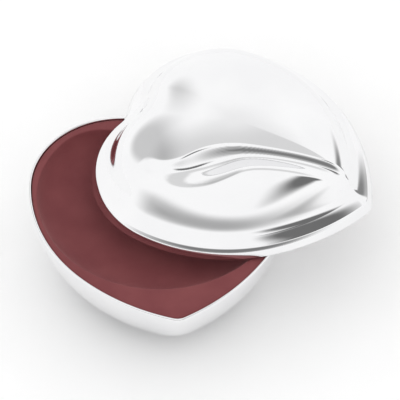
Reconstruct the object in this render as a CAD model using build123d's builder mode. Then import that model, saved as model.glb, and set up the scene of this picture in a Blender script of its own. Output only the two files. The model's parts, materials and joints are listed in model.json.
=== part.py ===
from build123d import *
import math
import os

# Heart-shaped wind-up music box. Millimetres, +Z up, the heart's tip towards -Y.
# Origin: centre of the foot ring, on the surface that the box stands on.
# The box is drawn with its lid swung open; every moving piece is at its rest place.

os.makedirs("parts", exist_ok=True)

# ---- driving dimensions -------------------------------------------------------------------
# A heart outline is (tip y, [(radius, turn in degrees), ...] from the tip round to the lobe,
# notch radius, notch turn). The arc round the back of the lobe closes it on the axis.
rim_shape = (-69.2, [(8, 22), (106, 27.5), (79, 47)], 21, 17)
opening_shape = (-49.4, [(59.4, 91), (49.5, 46)], 8, 52)

rim_z = 44.0  # top edge of the steel bowl
steel = 1.2  # sheet thickness
bowl_depth = 44.0  # depth at which the bowl would reach its foot circle
foot_circle = 38.0
floor_z = 9.0  # underside of the bowl's floor
floor_hole_radius = 35.5

foot_inner_radius = 33.2
foot_outer_radius = 36.6
plate_radius = 41.0
plate_thickness = 1.2
plate_bottom_z = floor_z - plate_thickness
plate_screw_radius = 39.0

ledge_z = 43.0  # top of the liner's ledge
ledge_thickness = 1.0
liner_gap = 0.3
dish_wall = 1.0
dish_circle = 40.0

pivot_x, pivot_y = -3.5, 46.6
lid_open_angle = 57.5  # how far the lid is swung from closed, seen from above
lid_z = rim_z + 0.3
lid_overhang = 2.7
lid_drop = 1.4  # how far the lid's inside face lies below its outside face
lid_crease_inset = 10.5
dome_circle = 45.0

bed_bottom_z = 11.0
bed_top_z = 13.0
shaft_z = 21.4  # height of the cylinder's axis
barrel_x = -13.0
cylinder_left, cylinder_right = 3.8, 21.0
cylinder_radius = 6.5
governor_y = 8.0
worm_x, worm_y = 26.3, 14.4
running = 0.05  # radial clearance of every shaft in its hole
STANDING = (Align.CENTER, Align.CENTER, Align.MIN)


# ---- outlines -----------------------------------------------------------------------------
def shape_arcs(shape):
    """All arcs of half an outline, with the closing arc worked out and the notch last."""
    _, arcs, notch_radius, notch_turn = shape
    x = 0.0
    heading = 0.0
    for radius, turn in arcs:
        x += radius * (math.sin(heading + math.radians(turn)) - math.sin(heading))
        heading += math.radians(turn)
    notch = math.sin(math.radians(notch_turn))
    closing_radius = (x - notch_radius * notch) / (math.sin(heading) + notch)
    closing_turn = 180 + notch_turn - math.degrees(heading)
    return arcs + [(closing_radius, closing_turn)]


def draw_outline(shape, inset=0.0):
    """Draw the closed outline, or one parallel to it, in the BuildLine that is open."""
    tip_y, _, notch_radius, notch_turn = shape
    point = Vector(0, tip_y + inset)
    heading = Vector(1, 0)
    for radius, turn in shape_arcs(shape):
        arc = JernArc(point, heading, radius - inset, turn)
        point = arc @ 1
        heading = arc % 1
    JernArc(point, heading, notch_radius + inset, -notch_turn)
    mirror(about=Plane.YZ)


def toward_circle(shape, circle_radius, amount):
    """The outline drawn part of the way to a circle about the origin."""
    tip_y, arcs, notch_radius, notch_turn = shape
    keep = 1 - amount
    mixed = [(radius * keep + circle_radius * amount, turn) for radius, turn in arcs]
    return (tip_y * keep - circle_radius * amount, mixed, notch_radius, notch_turn * keep)


def heart_section(height, shape, inset=0.0):
    """One filled outline at a height, ready for a loft."""
    with BuildSketch(Plane.XY.offset(height)) as section:
        with BuildLine():
            draw_outline(shape, inset)
        make_face()
    return section.sketch


def bowl_shape(depth):
    """Outline of the bowl's outside at a depth below the rim."""
    return toward_circle(rim_shape, foot_circle, (depth / bowl_depth) ** 2)


def save(part, name):
    """Label a finished piece and write it."""
    part.label = name
    export_step(part, "parts/" + name + ".step")


# ---- box: base ----------------------------------------------------------------------------
bowl_depths = (0, 7, 14, 21, 28, rim_z - floor_z)
inside_depths = (0, 7, 14, 21, 28, rim_z - floor_z - steel)

with BuildPart() as base_shell:
    loft([heart_section(rim_z - depth, bowl_shape(depth)) for depth in bowl_depths])
    loft(
        [heart_section(rim_z - depth, bowl_shape(depth), steel) for depth in inside_depths],
        mode=Mode.SUBTRACT,
    )
    with BuildSketch(Plane.XY.offset(floor_z - 1)):
        Circle(floor_hole_radius)
        with PolarLocations(plate_screw_radius, 4, start_angle=45):
            Circle(1.2)
    extrude(amount=steel + 2, mode=Mode.SUBTRACT)
save(base_shell.part, "base_shell")

with BuildPart() as foot_ring:
    with BuildSketch(Plane.XZ):
        with BuildLine():
            Polyline(
                (foot_inner_radius, 0),
                (foot_outer_radius - 1.5, 0),
                (foot_outer_radius, plate_bottom_z),
                (foot_inner_radius, plate_bottom_z),
                close=True,
            )
        make_face()
    revolve(axis=Axis.Z)
save(foot_ring.part, "foot_ring")

movement_feet = ((-24, -14), (-24, 14), (20, -13))

with BuildPart() as bottom_plate:
    with BuildSketch(Plane.XY.offset(plate_bottom_z)):
        Circle(plate_radius)
        with Locations((barrel_x, 0)):
            Circle(4, mode=Mode.SUBTRACT)
        with Locations(*movement_feet):
            Circle(1.5, mode=Mode.SUBTRACT)
        with PolarLocations(plate_screw_radius, 4, start_angle=45):
            Circle(1.2, mode=Mode.SUBTRACT)
    extrude(amount=plate_thickness)
save(bottom_plate.part, "bottom_plate")


def one_screw(head_radius, head_height, shank_radius, shank_length):
    """A slotted pan-head screw with its head underneath and its seat at z 0."""
    with BuildPart() as screw:
        with BuildSketch(Plane.XZ):
            with BuildLine():
                Polyline(
                    (0, -head_height),
                    (0, shank_length),
                    (shank_radius, shank_length),
                    (shank_radius, 0),
                    (head_radius, 0),
                    (head_radius, -head_height * 0.6),
                    (head_radius * 0.75, -head_height),
                    close=True,
                )
            make_face()
        revolve(axis=Axis.Z)
        with BuildSketch(Plane.XY.offset(-head_height)):
            Rectangle(head_radius * 2.2, head_radius * 0.3)
        extrude(amount=head_height * 0.45, mode=Mode.SUBTRACT)
    return screw.part


def screws_up(places, seat_z, screw):
    """Copies of a screw with heads underneath."""
    return Compound(children=[Pos(x, y, seat_z) * screw for x, y in places])


def screws_down(places, seat_z, screw):
    """Copies of a screw with heads on top."""
    turned = Rot(180, 0, 0) * screw
    return Compound(children=[Pos(x, y, seat_z) * turned for x, y in places])


plate_screw_places = [
    (plate_screw_radius * math.cos(math.radians(a)), plate_screw_radius * math.sin(math.radians(a)))
    for a in (45, 135, 225, 315)
]
save(screws_up(plate_screw_places, plate_bottom_z, one_screw(1.9, 1.2, 1.2, 3.4)), "bottom_plate_screws")
save(screws_up(movement_feet, plate_bottom_z, one_screw(2.5, 1.4, 1.3, 4.4)), "movement_screws")

# ---- box: liner ---------------------------------------------------------------------------
# (depth below the ledge, amount towards the dish's circle, inset from that outline)
dish_rings = ((0, 0, 0), (4, 0.03, 1.2), (8, 0.10, 3.6), (11, 0.20, 8.5), (12.8, 0.35, 19.0))
liner_inset = steel + liner_gap


def dish_sections(wall):
    """Outlines of the dish's inside, or of its outside one wall further out and down."""
    return [
        heart_section(
            ledge_z - depth - wall,
            toward_circle(opening_shape, dish_circle, amount),
            inset - wall,
        )
        for depth, amount, inset in dish_rings
    ]


with BuildPart() as liner:
    with BuildSketch(Plane.XY.offset(ledge_z)):
        with BuildLine():
            draw_outline(rim_shape, liner_inset)
        make_face()
    extrude(amount=-ledge_thickness)
    loft(dish_sections(dish_wall))
    loft(dish_sections(0), mode=Mode.SUBTRACT)
    with Locations((pivot_x, pivot_y, ledge_z)):
        Cylinder(3.9, 6, mode=Mode.SUBTRACT)
save(liner.part, "liner")

# ---- lid ----------------------------------------------------------------------------------
# The lid is drawn closed, over the bowl, and then swung about its pin.
tip_y, rim_arcs, rim_notch, rim_notch_turn = rim_shape
lid_shape = (
    tip_y - lid_overhang,
    [(radius + lid_overhang, turn) for radius, turn in rim_arcs],
    rim_notch - lid_overhang,
    rim_notch_turn,
)
crease_shape = (
    lid_shape[0] + lid_crease_inset,
    [(radius - lid_crease_inset, turn) for radius, turn in lid_shape[1]],
    lid_shape[2] + lid_crease_inset,
    lid_shape[3],
)
# (height above the lid's edge, inset from it)
wall_rings = ((0, 0), (2.6, 0.9), (5.1, 2.7))
wall_inner_rings = ((0, 1.1), (1.9, 1.9), (3.7, 2.7))
brim_rings = ((5.1, 2.7), (7.4, 6.0), (10.4, 8.9), (14.0, 10.5))
# (height, amount towards the dome's circle, inset from that outline)
dome_rings = (
    (14.0, 0, 0),
    (18.4, 0.055, 1.9),
    (22.6, 0.12, 4.6),
    (26.6, 0.28, 11.5),
    (29.0, 0.53, 23.0),
    (30.2, 0.82, 36.0),
)
# The valley between the lobes: points of its bottom curve's centre line
valley_path = (
    (-36, 33, 34.5),
    (-40, 22, 32.5),
    (-37, 12, 31.0),
    (-28.5, 3.5, 30.8),
    (-19, -6, 31.2),
    (-12, -20, 32.0),
    (-6.5, -38, 31.0),
    (-2.2, -52, 28.2),
    (-0.5, -57, 27.0),
)
valley_radius = 6.0


def edge_sections(rings, drop=0.0):
    """Sections parallel to the lid's edge, for its wall and its brim."""
    return [heart_section(lid_z + height - drop, lid_shape, inset) for height, inset in rings]


def dome_sections(drop=0.0):
    """Sections of the dome from its foot line to its crown."""
    return [
        heart_section(
            lid_z + height - drop,
            toward_circle(crease_shape, dome_circle, amount),
            inset,
        )
        for height, amount, inset in dome_rings
    ]


with BuildPart() as lid_outside:
    loft(edge_sections(wall_rings))
    loft(edge_sections(brim_rings))
    loft(dome_sections())

with BuildPart() as lid_inside:
    loft(edge_sections(wall_inner_rings))
    loft(edge_sections(brim_rings, lid_drop))
    loft(dome_sections(lid_drop))

with BuildLine() as valley_line:
    Spline(*[(x, y, lid_z + z) for x, y, z in valley_path])
valley_start = Plane(origin=valley_line.line @ 0, z_dir=valley_line.line % 0)

with BuildPart() as valley_cut:
    with BuildSketch(valley_start):
        Circle(valley_radius)
    sweep(path=valley_line.line)

with BuildPart() as valley_cut_inside:
    with BuildSketch(valley_start):
        Circle(valley_radius + lid_drop)
    sweep(path=valley_line.line)

with BuildPart() as lid_hollow:
    add(lid_inside.part)
    add(valley_cut_inside.part, mode=Mode.SUBTRACT)

with BuildPart() as lid_shell:
    add(lid_outside.part)
    add(valley_cut.part, mode=Mode.SUBTRACT)
    add(lid_hollow.part, mode=Mode.SUBTRACT)


def swung(part):
    """A piece of the lid, turned from closed to where the lid stands open."""
    return part.rotate(Axis((pivot_x, pivot_y, 0), (0, 0, 1)), lid_open_angle)


save(swung(lid_shell.part), "lid_shell")

# ---- lid pin, its bush and the stop cam ---------------------------------------------------
bracket_bottom_z, bracket_top_z = 33.0, 35.5
bush_bottom_z, bush_top_z = 32.0, 43.4
washer_top_z = 44.2
stud_radius = 2.5
stud_top_z = 56.0
bush_radius = 3.5
flange_radius = 4.5
lever_bottom_z, lever_top_z = 26.0, 27.2
lever_pin_x, lever_pin_y = 7.0, 47.5
cam_radius, cam_throw, cam_angle = 3.6, 0.79, 157.15
finger_x, finger_y = 27.2, 19.9
finger_bottom_z = 14.2


def turned(profile, x=0.0, y=0.0):
    """Revolve a closed (radius, height) profile about the upright line through x, y."""
    with BuildPart() as part:
        with BuildSketch(Plane(origin=(x, y, 0), x_dir=(1, 0, 0), z_dir=(0, -1, 0))):
            with BuildLine():
                Polyline(*profile, close=True)
            make_face()
        revolve(axis=Axis((x, y, 0), (0, 0, 1)))
    return part.part


def turned_along_x(profile, y, z):
    """Revolve a closed (x, radius) profile about the line along X through y, z."""
    with BuildPart() as part:
        with BuildSketch(Plane(origin=(0, y, z), x_dir=(1, 0, 0), z_dir=(0, -1, 0))):
            with BuildLine():
                Polyline(*profile, close=True)
            make_face()
        revolve(axis=Axis((0, y, z), (1, 0, 0)))
    return part.part


def ring(inner, outer, bottom, top):
    """Profile of a plain ring."""
    return ((inner, bottom), (outer, bottom), (outer, top), (inner, top))


with BuildPart() as pivot_bracket:
    with BuildSketch(Plane.XY.offset(bracket_bottom_z)):
        with BuildLine():
            draw_outline(bowl_shape(rim_z - bracket_bottom_z - 1.2), steel - 0.4)
        make_face()
        with BuildSketch(mode=Mode.INTERSECT):
            with BuildLine():
                Polyline(
                    (-13, 62),
                    (-13, 51.5),
                    (-7.5, 44),
                    (-1, 42),
                    (4, 44),
                    (10, 47.5),
                    (10, 62),
                    close=True,
                )
            make_face()
        with Locations((pivot_x, pivot_y)):
            Circle(bush_radius, mode=Mode.SUBTRACT)
        with Locations((lever_pin_x, lever_pin_y)):
            Circle(1.2, mode=Mode.SUBTRACT)
    extrude(amount=bracket_top_z - bracket_bottom_z)
save(pivot_bracket.part, "pivot_bracket")

bush_profile = (
    (stud_radius + running, bush_bottom_z),
    (bush_radius, bush_bottom_z),
    (bush_radius, bracket_top_z),
    (flange_radius, bracket_top_z),
    (flange_radius, bracket_top_z + 1.2),
    (bush_radius, bracket_top_z + 1.2),
    (bush_radius, bush_top_z),
    (stud_radius + running, bush_top_z),
)
save(turned(bush_profile, pivot_x, pivot_y), "pivot_bush")
washer_profile = ring(stud_radius + running, 4.8, bush_top_z, washer_top_z)
save(turned(washer_profile, pivot_x, pivot_y), "thrust_washer")

# The stud and the stop lever's pin end at one height, clear of the cylinder below them
pin_foot_z = 24.8
stud_profile = (
    (0, pin_foot_z),
    (stud_radius - 0.4, pin_foot_z),
    (stud_radius, pin_foot_z + 0.4),
    (stud_radius, stud_top_z),
    (0, stud_top_z),
)
save(swung(turned(stud_profile, pivot_x, pivot_y)), "lid_stud")
wave_washer_profile = ring(stud_radius, 4.4, 31.0, 31.7)
save(swung(turned(wave_washer_profile, pivot_x, pivot_y)), "wave_washer")

boss_radius = 5.0
with BuildPart() as lid_boss:
    with Locations((pivot_x, pivot_y, washer_top_z)):
        Cylinder(boss_radius, 24, align=STANDING)
    add(lid_hollow.part, mode=Mode.INTERSECT)
    with BuildSketch(Plane.XY.offset(washer_top_z)):
        with Locations((pivot_x, pivot_y)):
            Circle(boss_radius)
            Circle(stud_radius, mode=Mode.SUBTRACT)
    extrude(amount=lid_z - washer_top_z)
    with Locations((pivot_x, pivot_y, washer_top_z)):
        Cylinder(stud_radius, stud_top_z - washer_top_z, align=STANDING, mode=Mode.SUBTRACT)
save(swung(lid_boss.part), "lid_boss")

with BuildPart() as lock_nut:
    with BuildSketch(Plane.XY.offset(27.8)):
        with Locations((pivot_x, pivot_y)):
            RegularPolygon(4.0, 6, major_radius=False)
            Circle(stud_radius, mode=Mode.SUBTRACT)
    extrude(amount=3.2)
save(swung(lock_nut.part), "lock_nut")

cam_x = pivot_x + cam_throw * math.cos(math.radians(cam_angle))
cam_y = pivot_y + cam_throw * math.sin(math.radians(cam_angle))
with BuildPart() as stop_cam:
    with BuildSketch(Plane.XY.offset(lever_bottom_z)):
        with Locations((cam_x, cam_y)):
            Circle(cam_radius)
        with Locations((pivot_x, pivot_y)):
            Circle(stud_radius, mode=Mode.SUBTRACT)
    extrude(amount=lever_top_z - lever_bottom_z)
save(stop_cam.part, "stop_cam")

follower_angle = math.radians(158.4)
follower_length = 9.9
arm_half_width = 0.8
follower_end = (
    lever_pin_x + follower_length * math.cos(follower_angle),
    lever_pin_y + follower_length * math.sin(follower_angle),
)
lever_pin_radius, lever_collar_radius = 1.2, 1.9
with BuildPart() as stop_lever:
    with BuildSketch(Plane.XY.offset(lever_bottom_z)):
        for end in ((finger_x, finger_y), follower_end):
            with BuildSketch():
                with Locations((lever_pin_x, lever_pin_y), end):
                    Circle(arm_half_width)
                make_hull()
        with Locations((lever_pin_x, lever_pin_y)):
            Circle(2.2)
            Circle(lever_pin_radius + running, mode=Mode.SUBTRACT)
    extrude(amount=lever_top_z - lever_bottom_z)
    with Locations((finger_x, finger_y, finger_bottom_z)):
        Cylinder(0.6, lever_bottom_z - finger_bottom_z + 0.5, align=STANDING)
save(stop_lever.part, "stop_lever")

lever_pin_profile = (
    (0, pin_foot_z),
    (lever_pin_radius, pin_foot_z),
    (lever_pin_radius, lever_top_z + 0.2),
    (lever_collar_radius, lever_top_z + 0.2),
    (lever_collar_radius, bracket_bottom_z),
    (lever_pin_radius, bracket_bottom_z),
    (lever_pin_radius, bracket_top_z),
    (0, bracket_top_z),
)
save(turned(lever_pin_profile, lever_pin_x, lever_pin_y), "stop_lever_pin")
save(turned(ring(1.2, 2.2, 25.2, 25.8), lever_pin_x, lever_pin_y), "stop_lever_clip")

# ---- movement: bed ------------------------------------------------------------------------
bed_left, bed_right, bed_half_depth = -27.5, 29.4, 20.5
bridge_bottom_z = 26.0
bridge_post_y = 17.9
comb_bottom_z = 19.6
comb_screw_places = ((7.5, -18.5), (17.3, -18.5))
frame_screw_places = ((26.3, -0.9), (26.3, 4.4))
click_x, click_y = barrel_x + 8.2, 4.4

with BuildPart() as bedplate:
    with BuildSketch(Plane.XY.offset(bed_bottom_z)):
        with Locations(((bed_left + bed_right) / 2, 0)):
            RectangleRounded(bed_right - bed_left, 2 * bed_half_depth, 6)
    extrude(amount=bed_top_z - bed_bottom_z)
    with BuildSketch(Plane.XY.offset(floor_z)):
        with Locations(*movement_feet):
            Circle(3)
    extrude(amount=bed_bottom_z - floor_z)
    with BuildSketch(Plane.XY.offset(bed_top_z)):
        with Locations((barrel_x, bridge_post_y), (barrel_x, -bridge_post_y)):
            Rectangle(7, 4.2)
    extrude(amount=bridge_bottom_z - bed_top_z)
    with BuildSketch(Plane.XY.offset(bed_top_z)):
        with Locations((12.4, -17.8)):
            Rectangle(18.4, 5.0)
    extrude(amount=comb_bottom_z - bed_top_z)
    with BuildSketch(Plane.YZ.offset(2.2)):
        with BuildLine():
            Polyline((-3.2, bed_top_z), (-2.4, shaft_z), (2.4, shaft_z), (3.2, bed_top_z), close=True)
        make_face()
        with Locations((0, shaft_z)):
            Circle(2.4)
            Circle(1.0 + running, mode=Mode.SUBTRACT)
    extrude(amount=1.2)
    with BuildSketch(Plane.XY.offset(floor_z)):
        with Locations((barrel_x, 0)):
            Circle(2.0 + running)
        with Locations(*movement_feet):
            Circle(1.3)
        with Locations((worm_x, worm_y)):
            Circle(0.6 + running)
        with Locations(*frame_screw_places):
            Circle(0.8)
        with Locations((click_x, click_y)):
            Circle(0.9)
    extrude(amount=bed_top_z - floor_z, mode=Mode.SUBTRACT)
    with BuildSketch(Plane.XY.offset(comb_bottom_z)):
        with Locations(*comb_screw_places):
            Circle(1.1)
    extrude(amount=-3.5, mode=Mode.SUBTRACT)
    with BuildSketch(Plane.XY.offset(bridge_bottom_z)):
        with Locations((barrel_x, bridge_post_y), (barrel_x, -bridge_post_y)):
            Circle(0.9)
    extrude(amount=-3.0, mode=Mode.SUBTRACT)
save(bedplate.part, "bedplate")

# ---- movement: gears ----------------------------------------------------------------------


def gear_points(teeth, module, turn=0.0):
    """Corners of a small clock gear: straight-sided teeth with generous backlash."""
    root = module * (teeth / 2 - 1.15)
    tip = module * (teeth / 2 + 0.85)
    pitch_angle = 2 * math.pi / teeth
    corners = ((root, -0.30), (tip, -0.12), (tip, 0.12), (root, 0.30))
    points = []
    for tooth in range(teeth):
        for radius, offset in corners:
            angle = math.radians(turn) + (tooth + offset) * pitch_angle
            points.append((radius * math.cos(angle), radius * math.sin(angle)))
    return points


def gear_on_x(points, left, width, y, z, bore):
    """A gear on a shaft along X."""
    with BuildPart() as gear:
        with BuildSketch(Plane(origin=(left, y, z), x_dir=(0, 1, 0), z_dir=(1, 0, 0))):
            with BuildLine():
                Polyline(*points, close=True)
            make_face()
            Circle(bore, mode=Mode.SUBTRACT)
        extrude(amount=width)
    return gear.part


# ---- movement: spring barrel --------------------------------------------------------------
crown_teeth, pinion_teeth = 42, 12
crown_radius = 14.0
crown_module = 2 * crown_radius / crown_teeth
barrel_bottom_z, barrel_top_z = 13.5, 24.3
drum_radius, drum_inner = 12.6, 11.8
crown_base_z, crown_tip_z = 16.2, 17.9
crown_inner, crown_outer = 13.2, 14.8

barrel_profile = (
    (2.0 + running, barrel_bottom_z),
    (crown_outer, barrel_bottom_z),
    (crown_outer, crown_base_z),
    (drum_radius, crown_base_z),
    (drum_radius, barrel_top_z),
    (drum_inner, barrel_top_z),
    (drum_inner, 14.6),
    (2.0 + running, 14.6),
)
with BuildPart() as crown_tooth:
    with BuildSketch(Plane.YZ.offset(crown_inner)):
        with BuildLine():
            Polyline(
                (-0.65, crown_base_z - 0.1),
                (-0.25, crown_tip_z),
                (0.25, crown_tip_z),
                (0.65, crown_base_z - 0.1),
                close=True,
            )
        make_face()
    extrude(amount=crown_outer - crown_inner)

with BuildPart() as spring_barrel:
    add(turned(barrel_profile, barrel_x))
    with Locations((barrel_x, 0)):
        with PolarLocations(0, crown_teeth):
            add(crown_tooth.part)
save(spring_barrel.part, "spring_barrel")
save(turned(ring(2.0 + running, drum_radius, barrel_top_z, barrel_top_z + 0.8), barrel_x), "barrel_cover")

spring_start, spring_growth, spring_turns, spring_half = 3.45, 1.15, 6.8, 0.22
spring_steps = 82


def spiral(offset):
    """Points of one face of the mainspring."""
    points = []
    for step in range(spring_steps + 1):
        turns = spring_turns * step / spring_steps
        radius = spring_start + spring_growth * turns + offset
        points.append((radius * math.cos(2 * math.pi * turns), radius * math.sin(2 * math.pi * turns)))
    return points


with BuildPart() as mainspring:
    with BuildSketch(Plane((barrel_x, 0, 15.0))):
        with BuildLine():
            inner_face = Spline(*spiral(-spring_half))
            outer_face = Spline(*spiral(spring_half))
            Line(inner_face @ 0, outer_face @ 0)
            Line(inner_face @ 1, outer_face @ 1)
        make_face()
    extrude(amount=8.5)
save(mainspring.part, "mainspring")

arbor_profile = (
    (0, 2.6),
    (1.5, 2.6),
    (1.5, 7.4),
    (2.0, 7.4),
    (2.0, 14.9),
    (2.9, 14.9),
    (2.9, 24.0),
    (2.0, 24.0),
    (2.0, 25.8),
    (1.5, 25.8),
    (1.5, 27.6),
    (0, 27.6),
)
save(turned(arbor_profile, barrel_x), "winding_arbor")

with BuildPart() as barrel_bridge:
    with BuildSketch(Plane.XY.offset(bridge_bottom_z)):
        with Locations((barrel_x, 0)):
            Rectangle(7, 2 * (bridge_post_y + 2.1))
            Circle(5.5)
            Circle(1.5 + running, mode=Mode.SUBTRACT)
        with Locations((barrel_x, bridge_post_y), (barrel_x, -bridge_post_y)):
            Circle(0.9, mode=Mode.SUBTRACT)
    extrude(amount=1.2)
save(barrel_bridge.part, "barrel_bridge")
bridge_screws = screws_down(
    ((barrel_x, bridge_post_y), (barrel_x, -bridge_post_y)),
    bridge_bottom_z + 1.2,
    one_screw(1.7, 0.9, 0.9, 4.0),
)
save(bridge_screws, "barrel_bridge_screws")

# ---- movement: winding --------------------------------------------------------------------
with BuildPart() as winding_key:
    with BuildSketch(Plane.XZ.offset(-0.8)):
        with Locations((barrel_x, 4.2)):
            SlotOverall(24, 5.6)
            with Locations((-8, 0), (8, 0)):
                Circle(1.4, mode=Mode.SUBTRACT)
    extrude(amount=1.6)
    with Locations((barrel_x, 0, 1.3)):
        Cylinder(3.2, 5.9, align=STANDING)
    with Locations((barrel_x, 0, 2.6)):
        Cylinder(1.5, 5, align=STANDING, mode=Mode.SUBTRACT)
save(winding_key.part, "winding_key")

ratchet_teeth = 12
ratchet_z, ratchet_thickness = 9.8, 1.0
with BuildPart() as ratchet_wheel:
    with BuildSketch(Plane((barrel_x, 0, ratchet_z))):
        with BuildLine():
            corners = []
            for tooth in range(ratchet_teeth):
                angle = 2 * math.pi * tooth / ratchet_teeth
                corners.append((4.3 * math.cos(angle), 4.3 * math.sin(angle)))
                corners.append((5.2 * math.cos(angle), 5.2 * math.sin(angle)))
            Polyline(*corners, close=True)
        make_face()
        Circle(2.0, mode=Mode.SUBTRACT)
    extrude(amount=ratchet_thickness)
save(ratchet_wheel.part, "ratchet_wheel")

with BuildPart() as click:
    with BuildSketch(Plane((barrel_x, 0, ratchet_z))):
        with Locations((2.95, 4.0)):
            Circle(0.35)
        with Locations((8.2, 4.4)):
            Circle(1.6)
        make_hull()
    # the springy tail
    with BuildSketch(Plane((barrel_x, 0, ratchet_z))):
        with Locations((8.2, 5.4)):
            Circle(0.5)
        with Locations((15.5, 7.4)):
            Circle(0.25)
        make_hull()
    extrude(amount=ratchet_thickness)
    with Locations((click_x, click_y, ratchet_z)):
        Cylinder(0.9 + running, ratchet_thickness, align=STANDING, mode=Mode.SUBTRACT)
save(click.part, "click")
save(screws_up(((click_x, click_y),), ratchet_z, one_screw(1.6, 0.6, 0.9, 3.0)), "click_screw")

# ---- movement: cylinder -------------------------------------------------------------------
cylinder_inner = 5.7
tube_profile = (
    (cylinder_left, 1.0),
    (cylinder_left, cylinder_radius),
    (cylinder_right, cylinder_radius),
    (cylinder_right, cylinder_inner),
    (cylinder_left + 1.0, cylinder_inner),
    (cylinder_left + 1.0, 1.0),
)
save(turned_along_x(tube_profile, 0, shaft_z), "cylinder")
shaft_profile = ((0.0, 0), (0.0, 1.0), (25.4, 1.0), (25.4, 0))
save(turned_along_x(shaft_profile, 0, shaft_z), "cylinder_shaft")

cylinder_gear_teeth, governor_pinion_teeth, gear_module = 24, 8, 0.5
hub_profile = (
    (20.0, 1.0),
    (20.0, cylinder_inner),
    (cylinder_right, cylinder_inner),
    (cylinder_right, 4.0),
    (21.8, 4.0),
    (21.8, 1.0),
)
with BuildPart() as cylinder_gear:
    add(gear_on_x(gear_points(cylinder_gear_teeth, gear_module), 21.8, 1.2, 0, shaft_z, 1.0))
    add(turned_along_x(hub_profile, 0, shaft_z))
save(cylinder_gear.part, "cylinder_gear")
pinion_points = gear_points(pinion_teeth, crown_module, 180 / pinion_teeth)
save(gear_on_x(pinion_points, 0.2, 1.6, 0, shaft_z, 1.0), "cylinder_pinion")

tracks, pins_per_track = 18, 6
track_start, track_pitch = 4.75, 0.9
pin_root, pin_tip, pin_radius = 6.1, 7.3, 0.22
golden_turn = 137.5


def pin_plane(track, pin):
    """Plane at a pin's root, facing straight out of the cylinder."""
    angle = math.radians(golden_turn * (track * pins_per_track + pin) + 60 * pin)
    outward = (0, math.cos(angle), math.sin(angle))
    origin = (track_start + track * track_pitch, pin_root * outward[1], shaft_z + pin_root * outward[2])
    return Plane(origin=origin, x_dir=(1, 0, 0), z_dir=outward)


with BuildPart() as cylinder_pins:
    for track in range(tracks):
        for pin in range(pins_per_track):
            with BuildSketch(pin_plane(track, pin)):
                Circle(pin_radius)
            extrude(amount=pin_tip - pin_root)
save(cylinder_pins.part, "cylinder_pins")

# ---- movement: comb -----------------------------------------------------------------------
comb_left, comb_right = 3.3, 21.5
comb_top_z = 21.6
tooth_tip_y = -7.6
with BuildPart() as comb:
    with BuildSketch(Plane.XY.offset(comb_top_z)):
        with Locations(((comb_left + comb_right) / 2, (tooth_tip_y - 20.2) / 2)):
            Rectangle(comb_right - comb_left, tooth_tip_y + 20.2)
    extrude(amount=-0.7)
    with BuildSketch(Plane.XY.offset(comb_bottom_z)):
        with Locations(((comb_left + comb_right) / 2, -18.6)):
            Rectangle(comb_right - comb_left, 3.2)
    extrude(amount=comb_top_z - comb_bottom_z)
    with BuildSketch(Plane.XY.offset(comb_top_z)):
        for gap in range(tracks - 1):
            slot_end_y = -16.5 + 3.5 * gap / (tracks - 2)
            with Locations((track_start + (gap + 0.5) * track_pitch, slot_end_y)):
                Rectangle(0.25, 12, align=(Align.CENTER, Align.MIN))
    extrude(amount=-1, mode=Mode.SUBTRACT)
    with BuildSketch(Plane.XY.offset(comb_top_z)):
        with Locations(*comb_screw_places):
            Circle(1.1)
    extrude(amount=-3, mode=Mode.SUBTRACT)
save(comb.part, "comb")
save(screws_down(comb_screw_places, comb_top_z, one_screw(1.6, 1.1, 1.1, 5.0)), "comb_screws")

# ---- movement: governor -------------------------------------------------------------------
cheeks = ((23.8, 1.2), (27.6, 1.0))
frame_foot_z, frame_top_z = 14.2, 27.0
frame_width = 4.8
with BuildPart() as governor_frame:
    with BuildSketch(Plane.XY.offset(bed_top_z)):
        with Locations((23.8, -3.0)):
            Rectangle(frame_width, 12.4, align=(Align.MIN, Align.MIN))
        with Locations(*frame_screw_places):
            Circle(0.8, mode=Mode.SUBTRACT)
    extrude(amount=frame_foot_z - bed_top_z)
    with BuildSketch(Plane.YZ.offset(23.8)):
        with Locations((-3.0, bed_top_z)):
            Rectangle(8.5, 11, align=(Align.MIN, Align.MIN))
    extrude(amount=1.2)
    for left, thickness in cheeks:
        with BuildSketch(Plane.YZ.offset(left)):
            with Locations((5.4, bed_top_z)):
                Rectangle(4.0, frame_top_z - bed_top_z, align=(Align.MIN, Align.MIN))
        extrude(amount=thickness)
    with BuildSketch(Plane.XY.offset(frame_top_z)):
        with Locations((23.8, 5.4)):
            Rectangle(frame_width, 11.4, align=(Align.MIN, Align.MIN))
        with Locations((worm_x, worm_y)):
            Circle(1.5, mode=Mode.SUBTRACT)
    extrude(amount=1.0)
    with BuildSketch(Plane.YZ.offset(23)):
        with Locations((0, shaft_z)):
            Circle(1.0 + running)
        with Locations((governor_y, shaft_z)):
            Circle(0.6 + running)
    extrude(amount=7, mode=Mode.SUBTRACT)
save(governor_frame.part, "governor_frame")
save(screws_down(frame_screw_places, frame_foot_z, one_screw(1.2, 0.8, 0.8, 2.8)), "governor_screws")

save(turned_along_x(((21.4, 0), (21.4, 0.6), (29.2, 0.6), (29.2, 0)), governor_y, shaft_z), "governor_shaft")
governor_points = gear_points(governor_pinion_teeth, gear_module, 180 / governor_pinion_teeth)
save(gear_on_x(governor_points, 21.7, 1.5, governor_y, shaft_z, 0.6), "governor_pinion")
worm_wheel_teeth = 20
wheel_points = gear_points(worm_wheel_teeth, gear_module)
save(gear_on_x(wheel_points, worm_x - 0.5, 1.0, governor_y, shaft_z, 0.6), "worm_wheel")

worm_pitch = math.pi * gear_module
worm_turns = 4
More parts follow.
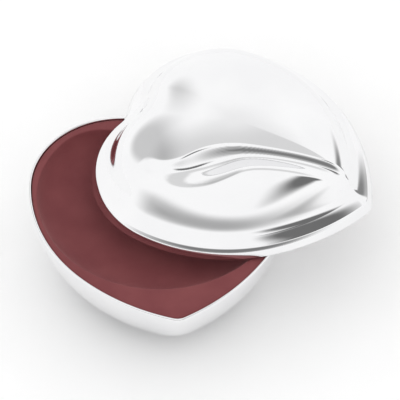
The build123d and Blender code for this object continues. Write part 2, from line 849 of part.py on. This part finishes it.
# the thread's crest faces the wheel half a pitch above the wheel's axis
worm_start_z = shaft_z + worm_pitch * (0.5 - 0.75 - 2)
with BuildPart() as worm_thread:
    with BuildLine() as thread_path:
        Helix(worm_pitch, worm_pitch * worm_turns, 1.3, center=(0, 0, 0))
    with BuildSketch(Plane(origin=thread_path.line @ 0, x_dir=(1, 0, 0), z_dir=thread_path.line % 0)):
        with BuildLine():
            Polyline((-0.55, -0.48), (0.5, -0.18), (0.5, 0.18), (-0.55, 0.48), close=True)
        make_face()
    sweep(path=thread_path.line, is_frenet=True)

worm_pin_radius, worm_root_radius = 0.6, 0.9
worm_bottom_z, thread_bottom_z, thread_top_z, worm_top_z = 11.4, 17.6, 24.8, 27.9
worm_profile = (
    (0, worm_bottom_z),
    (worm_pin_radius, worm_bottom_z),
    (worm_pin_radius, thread_bottom_z),
    (worm_root_radius, thread_bottom_z),
    (worm_root_radius, thread_top_z),
    (worm_pin_radius, thread_top_z),
    (worm_pin_radius, worm_top_z),
    (0, worm_top_z),
)
with BuildPart() as worm:
    add(turned(worm_profile, worm_x, worm_y))
    with Locations((worm_x, worm_y, worm_start_z)):
        add(worm_thread.part)
save(worm.part, "worm")

with BuildPart() as fly:
    with BuildSketch(Plane.XY.offset(13.9)):
        with Locations((worm_x, worm_y)):
            Rectangle(9.0, 0.5)
            Circle(1.1)
            Circle(worm_pin_radius, mode=Mode.SUBTRACT)
    extrude(amount=2.0)
save(fly.part, "fly")

cap_bottom_z, cap_top_z = 28.0, 28.5
cap_profile = (
    (0, worm_top_z + 0.2),
    (worm_pin_radius + running, worm_top_z + 0.2),
    (worm_pin_radius + running, frame_top_z),
    (1.5, frame_top_z),
    (1.5, cap_bottom_z),
    (2.1, cap_bottom_z),
    (2.1, cap_top_z),
    (0, cap_top_z),
)
save(turned(cap_profile, worm_x, worm_y), "worm_cap")
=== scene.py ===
import json
import math

import bmesh
import bpy
import numpy as np
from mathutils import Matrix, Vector


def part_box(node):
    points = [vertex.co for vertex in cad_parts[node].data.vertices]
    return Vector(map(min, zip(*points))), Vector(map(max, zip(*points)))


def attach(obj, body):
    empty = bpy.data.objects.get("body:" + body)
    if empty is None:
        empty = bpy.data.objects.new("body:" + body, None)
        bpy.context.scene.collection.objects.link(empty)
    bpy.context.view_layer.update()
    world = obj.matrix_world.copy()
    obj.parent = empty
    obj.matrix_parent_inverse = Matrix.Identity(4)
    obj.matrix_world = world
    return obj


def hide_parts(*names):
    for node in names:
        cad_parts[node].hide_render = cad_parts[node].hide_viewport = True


# Heart-shaped polished steel music box with its lid swung open. Metres, +Z up, tip towards -Y.
# The steel bowl, the steel lid and the lining are new meshes. Everything else is the CAD's own.
# A profile's corner is (height or depth, amount towards a circle, inset), in millimetres.

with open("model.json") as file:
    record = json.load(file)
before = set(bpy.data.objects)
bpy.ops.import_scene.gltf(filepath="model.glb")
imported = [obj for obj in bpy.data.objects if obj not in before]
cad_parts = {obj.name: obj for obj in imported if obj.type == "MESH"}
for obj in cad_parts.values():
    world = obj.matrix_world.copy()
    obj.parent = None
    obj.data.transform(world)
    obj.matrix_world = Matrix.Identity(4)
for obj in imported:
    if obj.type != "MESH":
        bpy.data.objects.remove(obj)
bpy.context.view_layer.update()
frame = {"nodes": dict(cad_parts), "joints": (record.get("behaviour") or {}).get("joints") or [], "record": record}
record = frame["record"]
joints = {joint["name"]: joint for joint in frame["joints"]}

# ---- sizes --------------------------------------------------------------------------------
MM = 0.001
rim_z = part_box("base_shell")[1].z
floor_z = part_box("base_shell")[0].z
ledge_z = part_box("liner")[1].z
lid_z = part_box("lid_shell")[0].z
sheet = 1.2 * MM  # thickness of the bowl's steel
bowl_depth = 44 * MM
foot_circle = 38 * MM
floor_hole_radius = 35.5 * MM

# A heart is (tip y, [(radius, turn in degrees), ...] from the tip round to the lobe,
# notch radius, notch turn). The arc round the back of the lobe closes it on the axis.
rim_shape = (-69.2 * MM, [(8 * MM, 22), (106 * MM, 27.5), (79 * MM, 47)], 21 * MM, 17)
opening_shape = (-49.4 * MM, [(59.4 * MM, 91), (49.5 * MM, 46)], 8 * MM, 52)
lid_overhang = 2.7 * MM
crease_inset = 10.5 * MM
dome_circle = 45 * MM
dish_circle = 40 * MM

RING_HALF = 320  # points round half a heart
TINY = 1e-9
WELD = 1e-7  # points closer than this become one
VALLEY_POINTS = 1500
VALLEY_BATCH = 2000  # points compared with the valley at one time
swivel = joints["lid_swivel"]
pivot = Vector(swivel["pos_m"])
lid_open_turn = -math.radians(swivel["range_deg"][0])


# ---- outlines -----------------------------------------------------------------------------
def grown(shape, distance):
    """The outline parallel to a heart, further out by distance."""
    tip_y, arcs, notch_radius, notch_turn = shape
    wider = [(radius + distance, turn) for radius, turn in arcs]
    return (tip_y - distance, wider, notch_radius - distance, notch_turn)


def toward_circle(shape, circle_radius, amount):
    """The outline drawn part of the way to a circle about the origin."""
    tip_y, arcs, notch_radius, notch_turn = shape
    keep = 1 - amount
    mixed = [(radius * keep + circle_radius * amount, turn) for radius, turn in arcs]
    return (tip_y * keep - circle_radius * amount, mixed, notch_radius, notch_turn * keep)


def all_arcs(shape):
    """Signed radius and turn, in radians, of every arc of half a heart."""
    _, arcs, notch_radius, notch_turn = shape
    turns = [(radius, math.radians(turn)) for radius, turn in arcs]
    x = 0.0
    heading = 0.0
    for radius, turn in turns:
        x += radius * (math.sin(heading + turn) - math.sin(heading))
        heading += turn
    notch = math.radians(notch_turn)
    closing_radius = (x - notch_radius * math.sin(notch)) / (math.sin(heading) + math.sin(notch))
    turns.append((closing_radius, math.pi + notch - heading))
    turns.append((-notch_radius, -notch))
    return turns


def heart_ring(shape, inset, height):
    """Points round a heart, or round one parallel to it, evenly spaced from the tip."""
    tip_y = shape[0] + inset
    arcs = [(radius - inset, turn) for radius, turn in all_arcs(shape)]
    lengths = [radius * turn for radius, turn in arcs]
    along = np.linspace(0, sum(lengths), RING_HALF + 1)
    x = np.zeros(RING_HALF + 1)
    y = np.full(RING_HALF + 1, tip_y)
    start = 0.0
    heading = 0.0
    for (radius, turn), length in zip(arcs, lengths):
        if abs(turn) > TINY and length > TINY:
            turned = np.clip((along - start) / length, 0, 1) * turn
            x += radius * (np.sin(heading + turned) - math.sin(heading))
            y += radius * (math.cos(heading) - np.cos(heading + turned))
        start += length
        heading += turn
    x = np.concatenate([x, -x[-2:0:-1]])
    y = np.concatenate([y, y[-2:0:-1]])
    return np.stack([x, y, np.full(len(x), height)], axis=1)


def smooth_line(corners, count):
    """Points along a cubic B-spline that starts and ends at the first and last corner."""
    points = np.array(corners, float)
    points = np.vstack([2 * points[0] - points[1], points, 2 * points[-1] - points[-2]])
    spans = len(points) - 3
    places = np.linspace(0, spans, count)
    span = np.minimum(places.astype(int), spans - 1)
    t = (places - span)[:, None]
    a, b, c, d = (points[span + k] for k in range(4))
    return (
        a * (1 - t) ** 3
        + b * (3 * t**3 - 6 * t**2 + 4)
        + c * (-3 * t**3 + 3 * t**2 + 3 * t + 1)
        + d * t**3
    ) / 6


# ---- meshes -------------------------------------------------------------------------------
def skin(name, rings, first_closed=False, last_closed=False):
    """A smooth surface through rings of points. A closed end is filled with a fan."""
    count = len(rings[0])
    points = np.concatenate(rings)
    faces = []
    for row in range(len(rings) - 1):
        low = row * count
        high = low + count
        for k in range(count):
            after = (k + 1) % count
            faces.append((low + k, low + after, high + after, high + k))
    extra = []
    for closed, row in ((first_closed, 0), (last_closed, len(rings) - 1)):
        if closed:
            pole = len(points) + len(extra)
            extra.append(rings[row].mean(axis=0))
            low = row * count
            for k in range(count):
                edge = (low + k, low + (k + 1) % count)
                faces.append((edge[1], edge[0], pole) if row == 0 else (edge[0], edge[1], pole))
    mesh = bpy.data.meshes.new(name)
    mesh.from_pydata(np.vstack([points, *extra]).tolist(), [], faces)
    form = bmesh.new()
    form.from_mesh(mesh)
    bmesh.ops.remove_doubles(form, verts=form.verts, dist=WELD)
    bmesh.ops.recalc_face_normals(form, faces=form.faces)
    form.to_mesh(mesh)
    form.free()
    mesh.shade_smooth()
    piece = bpy.data.objects.new(name, mesh)
    bpy.context.scene.collection.objects.link(piece)
    return piece


def swung(points):
    """Points of the closed lid, turned to where it stands open."""
    cosine, sine = math.cos(lid_open_turn), math.sin(lid_open_turn)
    offset = points[:, :2] - np.array(pivot[:2])
    turned = np.stack([cosine * offset[:, 0] - sine * offset[:, 1],
                       sine * offset[:, 0] + cosine * offset[:, 1]], axis=1)
    return np.column_stack([turned + np.array(pivot[:2]), points[:, 2]])


# ---- the lid ------------------------------------------------------------------------------
lid_shape = grown(rim_shape, lid_overhang)
crease_shape = grown(lid_shape, -crease_inset)

# The valley between the lobes, seen from above: bottom line, and at the same places its
# depth, its width on the steep side and its width on the gentle side
valley_line = [
    (-38, 31), (-41, 24), (-40, 17), (-35, 9.5), (-28.5, 3.5), (-21, -4), (-15.5, -11),
    (-12, -20), (-8.8, -30), (-5.2, -42), (-2.2, -52), (-0.3, -57), (0.8, -59.5),
]
valley_depth = [0, 0.6, 2.0, 4.5, 6.5, 6.0, 4.6, 3.6, 3.1, 2.8, 2.3, 1.5, 0]
valley_steep = [5, 5, 5, 5.5, 7.5, 6.5, 4, 3.2, 3, 2.8, 2.6, 2.5, 2.5]
valley_gentle = [6, 7, 9, 12, 15, 14, 12, 10, 9, 8, 7, 5, 4]


def valley_drop(points):
    """How far the dome is pressed down at each point by the valley."""
    corners = np.column_stack([valley_line, valley_depth, valley_steep, valley_gentle]) * MM
    line = smooth_line(corners, VALLEY_POINTS)
    path = line[:, :2]
    ahead = np.gradient(path, axis=0)
    ahead /= np.linalg.norm(ahead, axis=1)[:, None]
    drop = np.zeros(len(points))
    reach = line[:, 3:].max()
    near = np.flatnonzero(
        (points[:, 0] > path[:, 0].min() - reach)
        & (points[:, 0] < path[:, 0].max() + reach)
        & (points[:, 1] > path[:, 1].min() - reach)
        & (points[:, 1] < path[:, 1].max() + reach)
    )
    for some in np.array_split(near, max(1, len(near) // VALLEY_BATCH)):
        offset = points[some, None, :2] - path[None]
        nearest = (offset**2).sum(axis=2).argmin(axis=1)
        there = offset[np.arange(len(some)), nearest]
        forward = ahead[nearest]
        side = forward[:, 0] * there[:, 1] - forward[:, 1] * there[:, 0]
        beyond = np.abs((forward * there).sum(axis=1))
        away = np.where(side > 0, side / line[nearest, 3], -side / line[nearest, 4])
        away = np.sqrt(away**2 + (beyond / line[nearest, 3]) ** 2)
        drop[some] = line[nearest, 2] * np.clip(1 - away**2, 0, 1) ** 2
    return drop


# The lobe in front of the valley is lower than the other. Its side of this straight line
# is pressed down, by more the further from the line, but not below the dome's foot.
lobe_start = np.array([-40, 20]) * MM
lobe_end = np.array([0, -58]) * MM
lobe_fade = 24 * MM
lobe_share = 0.34
dome_foot_z = lid_z + 8 * MM


def lobe_drop(points):
    """How far the dome is pressed down at each point of the lower lobe."""
    forward = (lobe_end - lobe_start) / np.linalg.norm(lobe_end - lobe_start)
    offset = points[:, :2] - lobe_start
    side = np.clip((forward[1] * offset[:, 0] - forward[0] * offset[:, 1]) / lobe_fade, 0, 1)
    share = side * side * (3 - 2 * side)
    return lobe_share * share * np.clip(points[:, 2] - dome_foot_z, 0, None)


def lid_rings(profile, lowered=0.0, pressed=True):
    """Rings of the lid at each (height, amount towards the dome's circle, inset)."""
    rings = []
    for height, amount, inset in profile:
        shape = toward_circle(crease_shape, dome_circle, amount)
        ring = heart_ring(shape, inset - crease_inset, lid_z + height - lowered)
        if pressed:
            ring[:, 2] -= valley_drop(ring) + lobe_drop(ring)
        rings.append(swung(ring))
    return rings


wall_corners = [(0.45, 0, 0.05), (4.7, 0, 2.45), (4.95, 0, 2.65)]
dome_corners = [
    (4.95, 0, 2.65),
    (5.15, 0, 2.95),
    (7.2, 0, 6.0),
    (9.9, 0.02, 8.7),
    (13.6, 0.05, 10.4),
    (18.4, 0.085, 12.5),
    (22.8, 0.15, 15.8),
    (26.9, 0.30, 23.0),
    (29.2, 0.54, 34.0),
    (30.1, 0.83, 46.5),
    (30.1, 1.00, 55.3),
]


def in_metres(corners):
    """Profile corners with heights and insets turned from millimetres to metres."""
    return [(height * MM, amount, inset * MM) for height, amount, inset in corners]


edge_profile = in_metres([(0.12, 0, 0.12), (0, 0, 0.45), (0, 0, 0.8), (0.3, 0, 1.1)])
inner_wall = in_metres([(1.9, 0, 1.9), (3.2, 0, 2.5), (3.9, 0, 3.6)])
inside_drop = 1.4 * MM

outer_rings = lid_rings(smooth_line(in_metres(dome_corners), 150)[::-1])
wall_rings = lid_rings(in_metres(wall_corners[1::-1]), pressed=False)
edge_rings = lid_rings(edge_profile, pressed=False)
inner_wall_rings = lid_rings(inner_wall, pressed=False)
inner_rings = lid_rings(smooth_line(in_metres(dome_corners[2:]), 60), inside_drop)
lid_steel = skin(
    "lid_steel",
    outer_rings + wall_rings + edge_rings + inner_wall_rings + inner_rings,
    first_closed=True,
    last_closed=True,
)

# ---- the bowl -----------------------------------------------------------------------------


def bowl_ring(height, inset):
    """The bowl's outline at a height, or one inside it."""
    amount = ((rim_z - height) / bowl_depth) ** 2
    return heart_ring(toward_circle(rim_shape, foot_circle, amount), inset, height)


def circle_ring(radius, height):
    """Points round a circle, in step with the points round a heart."""
    count = 2 * RING_HALF
    angles = np.linspace(-math.pi / 2, 1.5 * math.pi, count, endpoint=False)
    return np.stack([radius * np.cos(angles), radius * np.sin(angles), np.full(count, height)], axis=1)


lip = sheet / 2
bowl_rings = [circle_ring(floor_hole_radius, floor_z)]
bowl_rings += [bowl_ring(floor_z, inset) for inset in (3.0 * MM, 0.5 * MM)]
bowl_rings += [bowl_ring(height, 0) for height in np.linspace(floor_z + 0.5 * MM, rim_z - lip, 60)]
for step in range(1, 8):
    angle = math.pi * step / 8
    bowl_rings.append(bowl_ring(rim_z - lip + lip * math.sin(angle), lip - lip * math.cos(angle)))
bowl_rings += [bowl_ring(height, sheet) for height in np.linspace(rim_z - lip, floor_z + sheet, 40)]
bowl_rings.append(circle_ring(floor_hole_radius, floor_z + sheet))
bowl_rings.append(circle_ring(floor_hole_radius, floor_z))
bowl_steel = skin("bowl_steel", bowl_rings)

# ---- the lining ---------------------------------------------------------------------------
ledge_thickness = 1.0 * MM
lining_gap = 0.3 * MM
lining_wall = 1.0 * MM
dish_corners = [
    (0.0, 0, -0.3),
    (0.15, 0, 0.15),
    (0.6, 0, 0.35),
    (4.0, 0.03, 1.2),
    (8.0, 0.10, 3.6),
    (11.2, 0.20, 8.5),
    (12.7, 0.35, 19.0),
    (12.8, 0.70, 32.0),
    (12.8, 1.00, 39.9),
]


def dish_ring(depth, amount, inset):
    """One ring of the dish, at a depth below the ledge."""
    shape = toward_circle(opening_shape, dish_circle, amount)
    return heart_ring(shape, inset, ledge_z - depth)


def ledge_ring(depth, share):
    """A ring of the flat ledge, from its outer edge at share 0 to the opening at share 1."""
    outer = heart_ring(rim_shape, sheet + lining_gap, ledge_z - depth)
    inner = heart_ring(opening_shape, -0.3 * MM, ledge_z - depth)
    return outer * (1 - share) + inner * share


dish = smooth_line(in_metres(dish_corners), 90)
lining_rings = [dish_ring(depth, amount, inset) for depth, amount, inset in dish[::-1]]
lining_rings += [ledge_ring(0.0, share) for share in (0.9, 0.6, 0.3, 0.06)]
lining_rings += [ledge_ring(0.1 * MM, 0.01), ledge_ring(ledge_thickness, 0.0)]
lining_rings += [ledge_ring(ledge_thickness, share) for share in (0.5, 0.95)]
under = smooth_line(in_metres(dish_corners[3:]), 40)
lining_rings += [
    dish_ring(depth + lining_wall, amount, inset - lining_wall) for depth, amount, inset in under
]
lining = skin("lining", lining_rings, first_closed=True, last_closed=True)


# ---- materials ----------------------------------------------------------------------------
def new_material(name, metallic=0.0, sheen=0.0, specular=0.5):
    """A material with its shader ready, and the object's own coordinates."""
    material = bpy.data.materials.new(name)
    material.use_nodes = True
    nodes = material.node_tree.nodes
    shader = nodes["Principled BSDF"]
    shader.inputs["Metallic"].default_value = metallic
    shader.inputs["Sheen Weight"].default_value = sheen
    shader.inputs["Specular IOR Level"].default_value = specular
    place = nodes.new("ShaderNodeTexCoord").outputs["Object"]
    return material, shader, place


def noise(material, place, scale, detail=3.0, stretch=(1, 1, 1)):
    """Noise of about 1 / scale metres, drawn out along the axes where stretch is small."""
    nodes, links = material.node_tree.nodes, material.node_tree.links
    mapping = nodes.new("ShaderNodeMapping")
    mapping.inputs["Scale"].default_value = stretch
    links.new(place, mapping.inputs["Vector"])
    texture = nodes.new("ShaderNodeTexNoise")
    texture.inputs["Scale"].default_value = scale
    texture.inputs["Detail"].default_value = detail
    links.new(mapping.outputs["Vector"], texture.inputs["Vector"])
    return texture.outputs["Fac"]


def spread(material, value, low, high, start=0.3, end=0.7):
    """Turn a noise into a number from low to high."""
    node = material.node_tree.nodes.new("ShaderNodeMapRange")
    for name, number in (("From Min", start), ("From Max", end), ("To Min", low), ("To Max", high)):
        node.inputs[name].default_value = number
    material.node_tree.links.new(value, node.inputs["Value"])
    return node.outputs["Result"]


def mixed_colour(material, value, first, second):
    """Turn a noise into a colour between two."""
    node = material.node_tree.nodes.new("ShaderNodeValToRGB")
    node.color_ramp.elements[0].position = 0.35
    node.color_ramp.elements[0].color = (*first, 1)
    node.color_ramp.elements[1].position = 0.65
    node.color_ramp.elements[1].color = (*second, 1)
    material.node_tree.links.new(value, node.inputs["Fac"])
    return node.outputs["Color"]


def bumps(material, value, height, before=None):
    """Bump of a height in metres."""
    node = material.node_tree.nodes.new("ShaderNodeBump")
    node.inputs["Strength"].default_value = 1.0
    node.inputs["Distance"].default_value = height
    material.node_tree.links.new(value, node.inputs["Height"])
    if before is not None:
        material.node_tree.links.new(before, node.inputs["Normal"])
    return node.outputs["Normal"]


def finish_material(material, shader, colour, roughness, normal):
    """Link a material's colour, roughness and normal."""
    links = material.node_tree.links
    links.new(colour, shader.inputs["Base Color"])
    links.new(roughness, shader.inputs["Roughness"])
    links.new(normal, shader.inputs["Normal"])
    return material


def polished_steel():
    """Mirror-polished stainless steel, with the slight haze and ripple of buffing."""
    material, shader, place = new_material("mirror_steel", metallic=1.0)
    cloud = noise(material, place, 28, 4)
    wipe = noise(material, place, 420, 3, (1, 0.06, 0.4))
    colour = mixed_colour(material, cloud, (0.86, 0.86, 0.87), (0.90, 0.90, 0.905))
    roughness = spread(material, wipe, 0.035, 0.075)
    ripple = bumps(material, noise(material, place, 90, 1), 1.2e-6)
    normal = bumps(material, wipe, 1.5e-7, ripple)
    return finish_material(material, shader, colour, roughness, normal)


def burgundy_lining():
    """Matt burgundy flock: short fibres, a faint nap and a soft sheen."""
    material, shader, place = new_material("burgundy_flock", sheen=0.25, specular=0.3)
    nap = noise(material, place, 60, 5)
    fibre = noise(material, place, 3600, 2)
    colour = mixed_colour(material, nap, (0.185, 0.040, 0.045), (0.215, 0.052, 0.056))
    roughness = spread(material, fibre, 0.62, 0.85)
    normal = bumps(material, fibre, 0.00006)
    shader.inputs["Sheen Roughness"].default_value = 0.5
    shader.inputs["Sheen Tint"].default_value = (0.9, 0.55, 0.55, 1)
    return finish_material(material, shader, colour, roughness, normal)


def brushed(name, first, second, rough_low, rough_high, stretch, scale=900):
    """Turned or brushed metal with fine lines."""
    material, shader, place = new_material(name, metallic=1.0)
    lines = noise(material, place, scale, 4, stretch)
    cloud = noise(material, place, 120, 4)
    colour = mixed_colour(material, cloud, first, second)
    roughness = spread(material, lines, rough_low, rough_high)
    normal = bumps(material, lines, 0.000012)
    return finish_material(material, shader, colour, roughness, normal)


def cast_zinc():
    """Die-cast zinc with a fine grainy skin."""
    material, shader, place = new_material("cast_zinc", metallic=0.9)
    grain = noise(material, place, 2600, 3)
    cloud = noise(material, place, 90, 5)
    colour = mixed_colour(material, cloud, (0.50, 0.51, 0.52), (0.62, 0.63, 0.64))
    roughness = spread(material, grain, 0.38, 0.58)
    return finish_material(material, shader, colour, roughness, bumps(material, grain, 0.00003))


def moulded(name, first, second, rough_low, rough_high, grain_height):
    """Moulded rubber or plastic."""
    material, shader, place = new_material(name)
    grain = noise(material, place, 2200, 3)
    cloud = noise(material, place, 70, 4)
    colour = mixed_colour(material, cloud, first, second)
    roughness = spread(material, grain, rough_low, rough_high)
    return finish_material(material, shader, colour, roughness, bumps(material, grain, grain_height))


finishes = {
    "polished_steel": polished_steel(),
    "burgundy_lining": burgundy_lining(),
    "black_rubber": moulded(
        "black_rubber", (0.018, 0.018, 0.019), (0.032, 0.032, 0.033), 0.55, 0.8, 0.00003
    ),
    "plain_steel": brushed(
        "plain_steel", (0.52, 0.53, 0.54), (0.64, 0.65, 0.66), 0.22, 0.42, (1, 0.05, 1)
    ),
    "spring_steel": brushed(
        "blued_steel", (0.16, 0.18, 0.23), (0.26, 0.28, 0.34), 0.25, 0.4, (0.05, 1, 1)
    ),
    "brass": brushed("satin_brass", (0.72, 0.52, 0.22), (0.82, 0.63, 0.31), 0.2, 0.38, (1, 1, 0.05)),
    "cast_zinc": cast_zinc(),
    "white_nylon": moulded("white_nylon", (0.76, 0.76, 0.72), (0.84, 0.84, 0.80), 0.35, 0.5, 0.00001),
}


def give(piece, slot_name):
    """Put a finish on every slot of a piece."""
    piece.data.materials.clear()
    piece.data.materials.append(finishes[slot_name])


slot_of = {row["node"]: row["material_slot"] for row in record["subparts"]}
for node, piece in frame["nodes"].items():
    give(piece, slot_of[node])

for piece, node, body in (
    (lid_steel, "lid_shell", "lid"),
    (bowl_steel, "base_shell", "box"),
    (lining, "liner", "box"),
):
    give(piece, slot_of[node])
    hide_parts(node)
    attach(piece, body)


# ---- floor, light and camera --------------------------------------------------------------
STUDIO_WHITE = 1.06
FLOOR_GLOW = 0.06
PATCH_CORE = 0.45  # the share of a patch, from its middle, that has its full depth
# Azimuth, elevation, half width, half height (degrees), brightness beside the white.
# A patch that crosses straight behind is given twice, a full turn apart.
STUDIO_PATCHES = (
    (-14, 2, 66, 44, 0.42),
    (-2, 10, 56, 11, 0.50),
    (48, 50, 38, 14, 0.16),
    (-148, 44, 31, 28, 0.62),
    (160, 64, 90, 20, 0.72),
    (-200, 64, 90, 20, 0.72),
    (112, 9, 24, 14, 0.25),
)


def make_floor():
    """A plain pale floor, wide enough to fill every view."""
    half_width = 2.5
    below_foot = -0.1 * MM
    mesh = bpy.data.meshes.new("floor")
    signs = ((-1, -1), (1, -1), (1, 1), (-1, 1))
    corners = [(half_width * x, half_width * y, below_foot) for x, y in signs]
    mesh.from_pydata(corners, [], [(0, 1, 2, 3)])
    floor = bpy.data.objects.new("floor", mesh)
    bpy.context.scene.collection.objects.link(floor)
    material, shader, place = new_material("pale_floor", specular=0.0)
    shader.inputs["Emission Color"].default_value = (1, 1, 1, 1)
    shader.inputs["Emission Strength"].default_value = FLOOR_GLOW
    grain = noise(material, place, 30, 3)
    colour = mixed_colour(material, grain, (0.93, 0.93, 0.93), (0.94, 0.94, 0.94))
    roughness = spread(material, grain, 0.8, 0.9)
    finish_material(material, shader, colour, roughness, bumps(material, grain, 0.00001))
    floor.data.materials.append(material)


def maths(nodes, links, kind, operation, first, second):
    """A maths node whose two inputs are each linked to an output or set to a value."""
    node = nodes.new(kind)
    node.operation = operation
    for socket, value in zip(node.inputs, (first, second)):
        if isinstance(value, bpy.types.NodeSocket):
            links.new(value, socket)
        else:
            socket.default_value = value
    return node


def make_studio():
    """A white studio, with the grey and dark patches that its unlit parts leave in the metal."""
    world = bpy.data.worlds.new("studio")
    bpy.context.scene.world = world
    world.use_nodes = True
    nodes, links = world.node_tree.nodes, world.node_tree.links
    background = nodes["Background"]
    parts = nodes.new("ShaderNodeSeparateXYZ")
    links.new(nodes.new("ShaderNodeTexCoord").outputs["Generated"], parts.inputs["Vector"])
    # azimuth from the front, positive to the right, and elevation, both in radians
    behind = maths(nodes, links, "ShaderNodeMath", "MULTIPLY", parts.outputs["Y"], -1.0)
    azimuth = maths(nodes, links, "ShaderNodeMath", "ARCTAN2", parts.outputs["X"], behind.outputs[0])
    elevation = maths(nodes, links, "ShaderNodeMath", "ARCSINE", parts.outputs["Z"], 0.0)
    angles = nodes.new("ShaderNodeCombineXYZ")
    links.new(azimuth.outputs[0], angles.inputs["X"])
    links.new(elevation.outputs[0], angles.inputs["Y"])
    level = 1.0
    for at_azimuth, at_elevation, half_width, half_height, brightness in STUDIO_PATCHES:
        centre = (math.radians(at_azimuth), math.radians(at_elevation), 0)
        halves = (math.radians(half_width), math.radians(half_height), 1)
        offset = maths(nodes, links, "ShaderNodeVectorMath", "SUBTRACT", angles.outputs[0], centre)
        scaled = maths(nodes, links, "ShaderNodeVectorMath", "DIVIDE", offset.outputs[0], halves)
        reach = nodes.new("ShaderNodeVectorMath")
        reach.operation = "LENGTH"
        links.new(scaled.outputs[0], reach.inputs[0])
        patch = nodes.new("ShaderNodeMapRange")
        patch.interpolation_type = "SMOOTHSTEP"
        patch.inputs["From Min"].default_value = PATCH_CORE
        patch.inputs["From Max"].default_value = 1.0
        patch.inputs["To Min"].default_value = brightness
        patch.inputs["To Max"].default_value = 1.0
        links.new(reach.outputs["Value"], patch.inputs["Value"])
        dimmed = maths(nodes, links, "ShaderNodeMath", "MULTIPLY", patch.outputs["Result"], level)
        level = dimmed.outputs[0]
    # only mirrored light meets the patches: the backdrop and matt surfaces see plain white
    light_path = nodes.new("ShaderNodeLightPath")
    for ray in ("Is Camera Ray", "Is Diffuse Ray"):
        brighter = maths(nodes, links, "ShaderNodeMath", "MAXIMUM", level, light_path.outputs[ray])
        level = brighter.outputs[0]
    strength = maths(nodes, links, "ShaderNodeMath", "MULTIPLY", level, STUDIO_WHITE)
    links.new(strength.outputs[0], background.inputs["Strength"])
    background.inputs["Color"].default_value = (1, 1, 1, 1)


def make_camera():
    """The camera stands in front, a little to the left, and looks down on the box."""
    azimuth, elevation = math.radians(-6.87), math.radians(50.09)
    distance = 1.75
    target = Vector((0.01832, 0.00276, rim_z - 0.9 * MM))
    back = Vector((
        math.sin(azimuth) * math.cos(elevation),
        -math.cos(azimuth) * math.cos(elevation),
        math.sin(elevation),
    ))
    data = bpy.data.cameras.new("camera")
    data.sensor_width = 36
    data.lens = 329
    data.clip_start, data.clip_end = 0.05, 20
    camera = bpy.data.objects.new("camera", data)
    camera.location = target + back * distance
    camera.rotation_mode = "QUATERNION"
    camera.rotation_quaternion = (-back).to_track_quat("-Z", "Y")
    bpy.context.scene.collection.objects.link(camera)
    bpy.context.scene.camera = camera


make_floor()
make_studio()
make_camera()
bpy.context.scene.view_settings.view_transform = "Standard"
